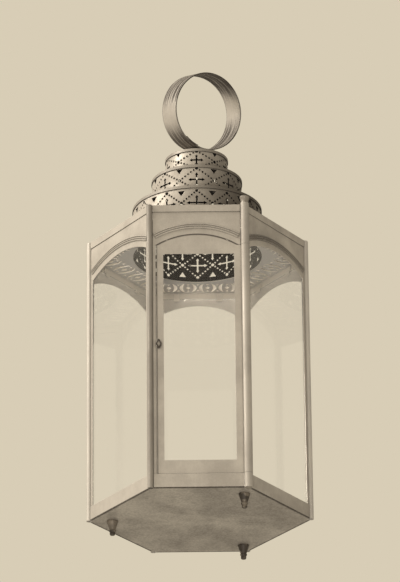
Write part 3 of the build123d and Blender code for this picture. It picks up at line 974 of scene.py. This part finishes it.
class LANTERN_OT_ironwork(bpy.types.Operator):
    """Finish the feet, hinge rod, catch and rivet"""

    bl_idname = "lantern.ironwork"
    bl_label = "Ironwork"

    def execute(self, context):
        colours = context.scene.lantern_colours
        dress(named("foot_"), blackened_iron(colours, "blackened_iron", painted_light_share=0.0))
        # Painted light: the left foot gets a paler copy
        dress(["foot_left"], blackened_iron(colours, "lit_blackened_iron", painted_light_share=0.5))
        dress(["hinge_rod", "catch_tongue", "ring_rivet"], dull_iron_wire(colours))
        dress(["catch_knob"], worn_catch_iron(colours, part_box("catch_knob")[0].y + DISH_DEPTH))
        return {"FINISHED"}


class LANTERN_OT_panes(bpy.types.Operator):
    """Finish the glass panes, which let lamps shine through"""

    bl_idname = "lantern.panes"
    bl_label = "Glass Panes"

    def execute(self, context):
        panes = [f"pane_{side}" for side in GLAZED_SIDES] + ["door_pane"]
        dress(panes, old_window_glass(context.scene.lantern_colours))
        for name in panes:
            NODES[name].visible_shadow = False
            NODES[name].visible_diffuse = False
        return {"FINISHED"}


class LANTERN_OT_burrs(bpy.types.Operator):
    """Raise a rim round each punched dot of the drums"""

    bl_idname = "lantern.burrs"
    bl_label = "Punched Burrs"

    def execute(self, context):
        height = context.scene.lantern_sizes.burr
        material = bpy.data.materials["sooted_punched_tin"]
        for node in PUNCHING:
            low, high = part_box(node)
            radius = (high.x - low.x) / 2
            mesh = bmesh.new()
            for hole, angle, z in punched_dots(node):
                self.raise_rim(mesh, radius, hole, angle, z, height)
            new_piece(node.replace("drum", "burrs"), mesh, material, "lantern")
        return {"FINISHED"}

    def raise_rim(self, mesh, radius, hole, angle, z, height):
        """One rim: a foot on the wall, a ragged crest and the lip inside the hole."""
        out = Vector((sin(angle), -cos(angle), 0))
        across = Vector((cos(angle), sin(angle), 0))
        place = Matrix((across, Vector((0, 0, 1)), out)).transposed().to_4x4()
        place.translation = out * radius + Vector((0, 0, z))
        wide = RIM_SHARE * hole + RIM_EXTRA
        loop = bmesh.ops.create_circle(mesh, segments=10, radius=hole + wide)["verts"]
        edges = list({e for v in loop for e in v.link_edges})
        rings = [loop]
        for grow, rise in ((CREST_SHARE * wide, height), (-LIP_SHARE * hole, -LIP_DROP * height)):
            grown = bmesh.ops.extrude_edge_only(mesh, edges=edges)["geom"]
            edges = [g for g in grown if isinstance(g, bmesh.types.BMEdge) and len(g.link_faces) == 1]
            ring = [g for g in grown if isinstance(g, bmesh.types.BMVert)]
            for v in ring:
                reach = (hole + grow) / hypot(v.co.x, v.co.y)
                ragged = 1 + CREST_STRAY * noise.noise((v.co + place.translation) * CREST_PER_METRE)
                v.co = Vector((v.co.x * reach, v.co.y * reach, rise * ragged))
            rings.append(ring)
        for ring in rings:
            for v in ring:
                sink = v.co.x**2 / (2 * radius) + (RIM_SINK if ring is loop else 0)
                v.co = place @ Vector((v.co.x, v.co.y, v.co.z - sink))


class LANTERN_OT_solder(bpy.types.Operator):
    """Run solder down the inside of each corner, along the hinge tube and up each drum"""

    bl_idname = "lantern.solder"
    bl_label = "Solder"

    def execute(self, context):
        sizes = context.scene.lantern_sizes
        material = dull_solder(context.scene.lantern_colours)
        self.corner_beads(sizes.bead, material)
        self.door_bead(sizes.bead, material)
        self.drum_seams(sizes, material)
        return {"FINISHED"}

    def corner_beads(self, radius, material):
        """Two beads inside each plain corner, one against each sheet."""
        centres = post_centres()
        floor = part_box("frame_rear")[0].z
        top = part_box("deck")[0].z - MM
        post_radius = (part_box("post_left")[1].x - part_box("post_left")[0].x) / 2
        mesh = bmesh.new()
        for k, centre in enumerate(centres):
            if POSTS[k] == HINGE_POST:
                continue
            for other in (centres[k - 1], centres[(k + 1) % len(centres)]):
                along = (other - centre).normalized()
                inward = Vector((-along.y, along.x))
                if inward.dot(centre) > 0:
                    inward = -inward
                spot = centre + along * (post_radius + BEAD_GAP) + inward * (SHEET_HALF + 0.5 * radius)
                bead_along_z(mesh, spot.x, spot.y, floor, top, radius)
        new_piece("solder_corners", mesh, material, "lantern")

    def door_bead(self, radius, material):
        """Bead behind the door where its sheet meets the hinge tube."""
        low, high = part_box("door_hinge_tube")
        sheet_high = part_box("door_frame")[1]
        mesh = bmesh.new()
        y = sheet_high.y + 0.4 * radius
        bead_along_z(mesh, sheet_high.x, y, low.z + 2 * MM, high.z - 2 * MM, radius)
        new_piece("solder_door", mesh, material, "door")

    def drum_seams(self, sizes, material):
        """Flat upright seam at the back of each drum."""
        mesh = bmesh.new()
        for node in PUNCHING:
            low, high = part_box(node)
            radius = (high.x - low.x) / 2
            quarter_pitch = 0.25 * 2 * pi / PUNCHING[node][0]
            angle = pi + quarter_pitch
            x, y = radius * sin(angle), -radius * cos(angle)
            bead_along_z(mesh, x, y, low.z + MM, high.z - 3 * MM, sizes.seam)
            out = Vector((sin(angle), -cos(angle), 0))
            for v in mesh.verts:
                aside = Vector((v.co.x - x, v.co.y - y, 0))
                if aside.length < 2 * sizes.seam:
                    v.co -= out * (SEAM_FLATTENED * aside.dot(out))
        new_piece("solder_drums", mesh, material, "lantern")


class LANTERN_OT_stage(bpy.types.Operator):
    """Set the floor, soft light and camera"""

    bl_idname = "lantern.stage"
    bl_label = "Stage"

    def execute(self, context):
        stage = context.scene.lantern_stage
        paper = context.scene.lantern_colours.paper
        self.floor(context.scene, paper)
        self.sky(context.scene, stage, paper)
        self.lamp(context.scene, "key_lamp", stage.key, KEY_SPOT, KEY_WIDTH)
        self.lamp(context.scene, "fill_lamp", stage.fill, FILL_SPOT, FILL_WIDTH)
        self.camera(context.scene, stage)
        context.scene.view_settings.view_transform = "Standard"
        return {"FINISHED"}

    def floor(self, scene, paper):
        """Pale disc that fades out at its rim and can be seen through from below."""
        material, tree = blank_material("paper_floor")
        coords = add(tree, "ShaderNodeTexCoord").outputs["Object"]
        away = add(tree, "ShaderNodeVectorMath", {0: coords}, operation="LENGTH")
        fade = add(
            tree,
            "ShaderNodeMapRange",
            {"Value": away.outputs["Value"], "From Min": FADE_STARTS, "From Max": FADE_ENDS},
            interpolation_type="SMOOTHSTEP",
        )
        back = add(tree, "ShaderNodeNewGeometry")
        hidden = add(
            tree, "ShaderNodeMath", {0: fade.outputs[0], 1: back.outputs["Backfacing"]}, operation="MAXIMUM"
        )
        matt = add(tree, "ShaderNodeBsdfDiffuse", {"Color": paper})
        clear = add(tree, "ShaderNodeBsdfTransparent")
        mixed = add(
            tree, "ShaderNodeMixShader", {0: hidden.outputs[0], 1: matt.outputs[0], 2: clear.outputs[0]}
        )
        add(tree, "ShaderNodeOutputMaterial", {"Surface": mixed.outputs[0]})
        mesh = bmesh.new()
        bmesh.ops.create_circle(mesh, cap_ends=True, segments=64, radius=FLOOR_RADIUS)
        data = bpy.data.meshes.new("floor")
        mesh.to_mesh(data)
        mesh.free()
        data.materials.append(material)
        floor = bpy.data.objects.new("floor", data)
        scene.collection.objects.link(floor)
        floor.visible_diffuse = False
        floor.visible_glossy = False
        floor.visible_shadow = False

    def sky(self, scene, stage, paper):
        """Even pale backdrop for the eye, metal and glass; soft light from all round for the rest."""
        world = bpy.data.worlds.new("paper_backdrop")
        world.use_nodes = True
        tree = world.node_tree
        tree.nodes.clear()
        toward = add(tree, "ShaderNodeTexCoord").outputs["Generated"]
        lean = add(
            tree,
            "ShaderNodeVectorMath",
            {0: toward, 1: Vector(SLOPE_AXIS).normalized()},
            operation="DOT_PRODUCT",
        )
        level = add(
            tree,
            "ShaderNodeMath",
            {0: lean.outputs["Value"], 1: stage.slope, 2: stage.ambient},
            operation="MULTIPLY_ADD",
            use_clamp=True,
        )
        soft = add(tree, "ShaderNodeBackground", {"Color": linear(LAMP_WHITE), "Strength": level.outputs[0]})
        seen = add(tree, "ShaderNodeBackground", {"Color": paper, "Strength": 1.0})
        path = add(tree, "ShaderNodeLightPath")
        direct = add(
            tree,
            "ShaderNodeMath",
            {0: path.outputs["Is Camera Ray"], 1: path.outputs["Is Glossy Ray"]},
            operation="MAXIMUM",
        )
        shown = add(
            tree,
            "ShaderNodeMath",
            {0: direct.outputs[0], 1: path.outputs["Is Transmission Ray"]},
            operation="MAXIMUM",
        )
        mixed = add(
            tree, "ShaderNodeMixShader", {0: shown.outputs[0], 1: soft.outputs[0], 2: seen.outputs[0]}
        )
        add(tree, "ShaderNodeOutputWorld", {"Surface": mixed.outputs[0]})
        scene.world = world

    def lamp(self, scene, name, power, spot, width):
        """Soft round lamp aimed at the lantern's middle."""
        lamp = bpy.data.lights.new(name, "AREA")
        lamp.shape = "DISK"
        lamp.size = width
        lamp.energy = power
        lamp.color = linear(LAMP_WHITE)[:3]
        place = bpy.data.objects.new(name, lamp)
        place.location = spot
        aim = LAMP_AIM - place.location
        place.rotation_euler = aim.to_track_quat("-Z", "Y").to_euler()
        scene.collection.objects.link(place)

    def camera(self, scene, stage):
        """Camera below the lantern, aimed at the picture's middle."""
        lens = bpy.data.cameras.new("camera")
        lens.sensor_width = SENSOR_MM
        lens.lens = LENS_PIXELS * SENSOR_MM / PICTURE_HEIGHT
        lens.clip_end = 50
        camera = bpy.data.objects.new("camera", lens)
        away = Vector((0, -cos(stage.elevation), sin(stage.elevation)))
        turn = (-away).to_track_quat("-Z", "Y").to_matrix().to_4x4()
        place = Matrix.Translation(Vector(stage.target) + away * stage.distance)
        camera.matrix_world = place @ turn @ Matrix.Rotation(-stage.roll, 4, "Z")
        scene.collection.objects.link(camera)
        scene.camera = camera


STEPS = (
    LANTERN_OT_tin_body,
    LANTERN_OT_punched_top,
    LANTERN_OT_carrying_ring,
    LANTERN_OT_ironwork,
    LANTERN_OT_panes,
    LANTERN_OT_burrs,
    LANTERN_OT_solder,
    LANTERN_OT_stage,
)


class LANTERN_PT_steps(bpy.types.Panel):
    """Lists the finishing steps"""

    bl_label = "Punched Tin Lantern"
    bl_space_type = "VIEW_3D"
    bl_region_type = "UI"
    bl_category = "Lantern"

    def draw(self, context):
        for step in STEPS:
            self.layout.operator(step.bl_idname)


GROUPS = {"lantern_colours": LanternColours, "lantern_sizes": LanternSizes, "lantern_stage": LanternStage}


def register():
    """Register the classes and hang the settings on the scene."""
    for name, group in GROUPS.items():
        bpy.utils.register_class(group)
        setattr(bpy.types.Scene, name, PointerProperty(type=group))
    for step in STEPS + (LANTERN_PT_steps,):
        bpy.utils.register_class(step)


def unregister():
    """Undo register."""
    for step in STEPS + (LANTERN_PT_steps,):
        bpy.utils.unregister_class(step)
    for name, group in GROUPS.items():
        delattr(bpy.types.Scene, name)
        bpy.utils.unregister_class(group)


def main():
    """Run each step in order."""
    register()
    bpy.ops.lantern.tin_body()
    bpy.ops.lantern.punched_top()
    bpy.ops.lantern.carrying_ring()
    bpy.ops.lantern.ironwork()
    bpy.ops.lantern.panes()
    bpy.ops.lantern.burrs()
    bpy.ops.lantern.solder()
    bpy.ops.lantern.stage()


if __name__ == "__main__":
    main()
